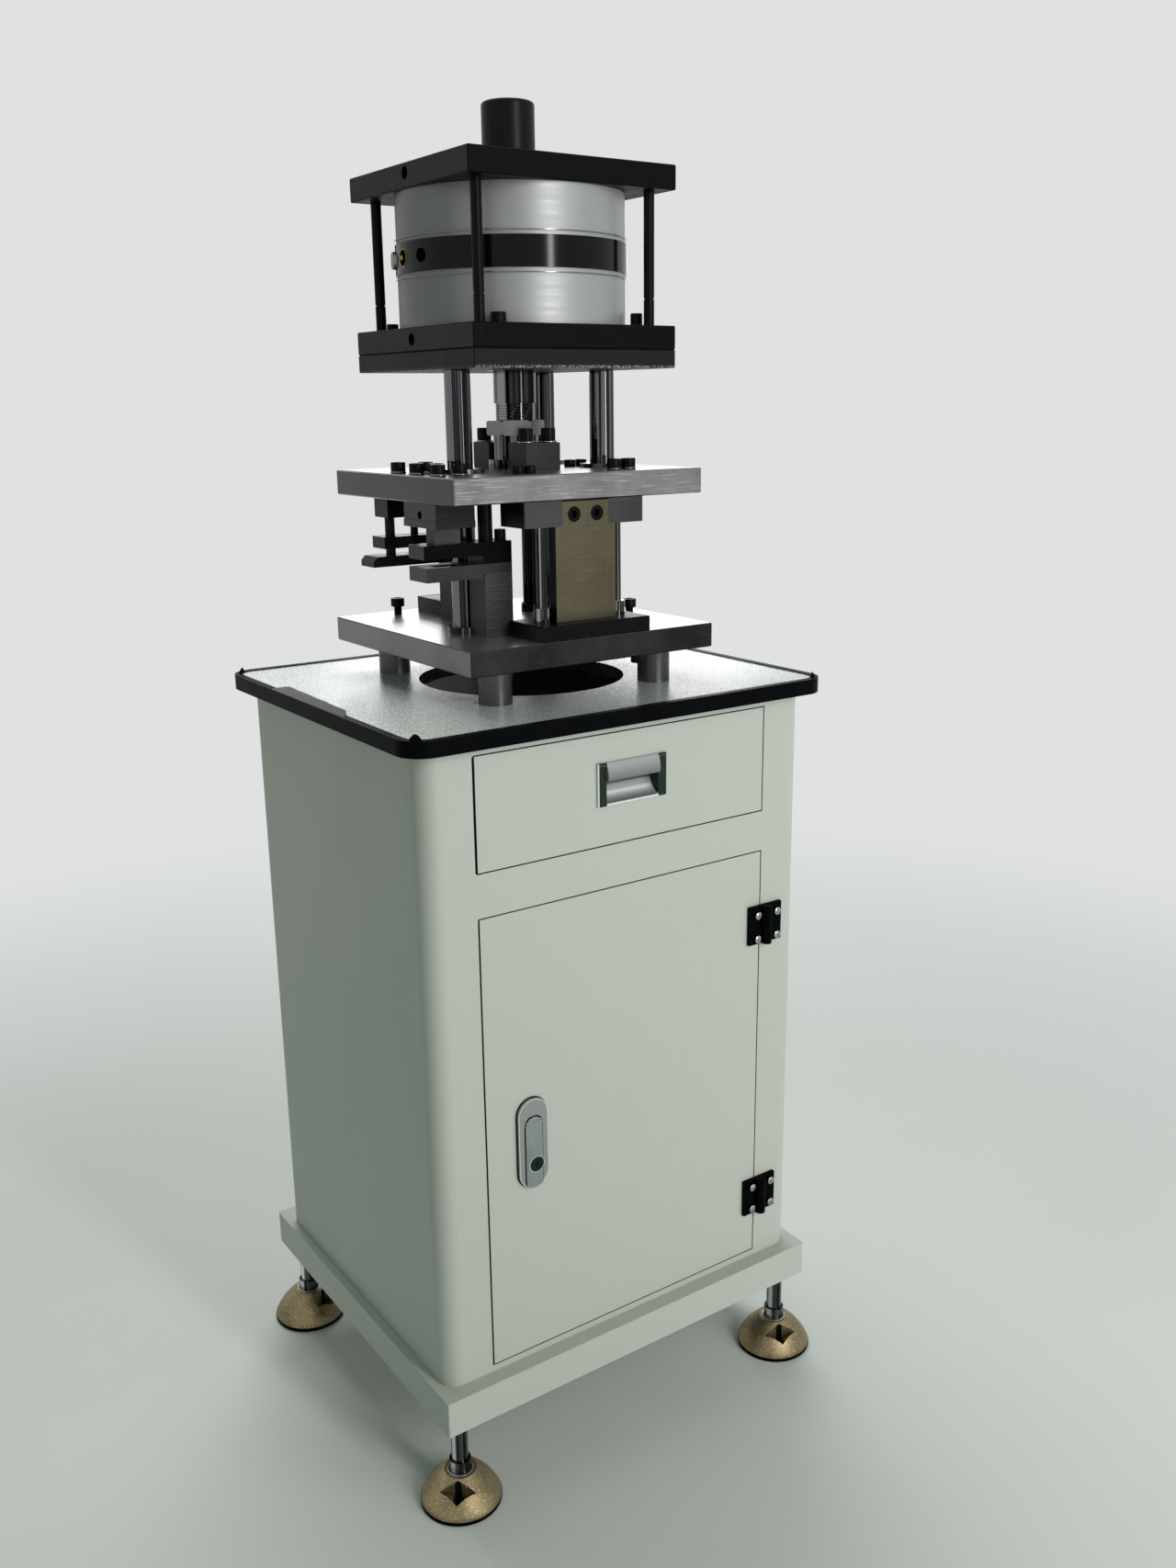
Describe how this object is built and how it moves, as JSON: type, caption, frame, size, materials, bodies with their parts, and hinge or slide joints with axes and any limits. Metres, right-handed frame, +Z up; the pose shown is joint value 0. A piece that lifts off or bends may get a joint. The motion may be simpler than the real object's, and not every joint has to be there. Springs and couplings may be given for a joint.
{
  "type": "hydraulic punching machine",
  "caption": "Hydraulic punching machine: a round tandem cylinder on columns drives a slide with three punches over a cabinet with a drawer, a door and levelling feet.",
  "frame": {"origin": "on the floor, under the middle of the machine", "axes": "+Z up, -Y to the front where the drawer and door are, +X to the right of somebody who faces them"},
  "size_m": [0.5716, 0.513, 1.528],
  "materials": {
    "cabinet_paint": "satin light warm grey powder coat",
    "laminate": "white speckled laminate",
    "black_edging": "matt black",
    "ground_steel": "ground",
    "black_steel": "black oxide",
    "black_anodised": "glossy black",
    "cylinder_aluminium": "brushed around",
    "tool_steel": "hardened, bronze grey",
    "hard_chrome": "polished",
    "black_plastic": "dark green black",
    "zinc_plated": "zinc plated sheet",
    "satin_nickel": "satin",
    "yellow_zinc": "yellow zinc over cast metal",
    "stud_steel": "bright stud with a black collar"
  },
  "bodies": {
    "frame": {"plinth": "cabinet_paint", "cabinet_shell": "cabinet_paint", "back_panel": "cabinet_paint", "top_gasket": "black_edging", "worktop": "laminate", "edge_trim": "black_edging", "spacer_legs": "ground_steel", "lower_plate": "ground_steel", "guide_columns": "hard_chrome", "mount_plate": "black_steel", "cylinder_base": "black_steel", "rod_gland": "ground_steel", "cylinder_tubes": "cylinder_aluminium", "divider_ring": "black_anodised", "head_plate": "black_steel", "tie_rods": "black_steel", "top_cap": "black_anodised", "frame_screws": "black_steel", "die_base": "black_steel", "guide_pins": "hard_chrome", "jaw_riser": "ground_steel", "lower_jaw": "ground_steel", "jaw_spacer": "ground_steel", "upper_jaw": "ground_steel", "rear_riser": "black_steel", "rear_die_bar": "black_steel", "rear_guide_bar": "black_steel", "drawer_runners": "zinc_plated", "hinge_frame_leaves": "black_steel"},
    "press": {"piston_rod": "hard_chrome", "jam_nut": "ground_steel", "rod_adaptor": "ground_steel", "clamp_blocks": "ground_steel", "press_screws": "black_steel", "middle_plate": "ground_steel", "guide_bushes": "ground_steel", "punch_shoe": "ground_steel", "punch_plate": "tool_steel", "jaw_punch_holder": "ground_steel", "jaw_punch": "ground_steel", "jaw_guide_post": "black_steel", "rear_punch_holder": "black_steel", "rear_punch": "black_steel"},
    "drawer": {"drawer_front": "cabinet_paint", "drawer_box": "zinc_plated", "drawer_pull": "satin_nickel", "pull_caps": "black_plastic"},
    "door": {"door_panel": "cabinet_paint", "hinge_door_leaves": "black_steel", "lock_housing": "satin_nickel"},
    "lever": {"lock_lever": "satin_nickel"},
    "lock": {"lock_barrel": "satin_nickel"},
    "foot_front_left": {"foot_pad_front_left": "yellow_zinc", "foot_stud_front_left": "stud_steel"},
    "foot_front_right": {"foot_pad_front_right": "yellow_zinc", "foot_stud_front_right": "stud_steel"},
    "foot_back_left": {"foot_pad_back_left": "yellow_zinc", "foot_stud_back_left": "stud_steel"},
    "foot_back_right": {"foot_pad_back_right": "yellow_zinc", "foot_stud_back_right": "stud_steel"}
  },
  "joints": [
    {"name": "press_slide", "type": "slide", "parent": "frame", "child": "press", "axis": [0, 0, 1], "range_m": [-0.012, 0]},
    {"name": "drawer_slide", "type": "slide", "parent": "frame", "child": "drawer", "axis": [0, -1, 0], "range_m": [0, 0.3]},
    {"name": "door_hinge", "type": "hinge", "parent": "frame", "child": "door", "pos_m": [0.1995, -0.2228, 0.4235], "axis": [0, 0, 1], "range_deg": [0, 110]},
    {"name": "lever_flip", "type": "hinge", "parent": "door", "child": "lever", "pos_m": [-0.1364, -0.2194, 0.4507], "axis": [-1, 0, 0], "range_deg": [0, 60]},
    {"name": "lock_turn", "type": "hinge", "parent": "door", "child": "lock", "pos_m": [-0.1335, -0.205, 0.3978], "axis": [0, 1, 0], "range_deg": [0, 90]},
    {"name": "level_front_left", "type": "slide", "parent": "frame", "child": "foot_front_left", "axis": [0, 0, -1], "range_m": [0, 0.02]},
    {"name": "level_front_right", "type": "slide", "parent": "frame", "child": "foot_front_right", "axis": [0, 0, -1], "range_m": [0, 0.02]},
    {"name": "level_back_left", "type": "slide", "parent": "frame", "child": "foot_back_left", "axis": [0, 0, -1], "range_m": [0, 0.02]},
    {"name": "level_back_right", "type": "slide", "parent": "frame", "child": "foot_back_right", "axis": [0, 0, -1], "range_m": [0, 0.02]}
  ]
}
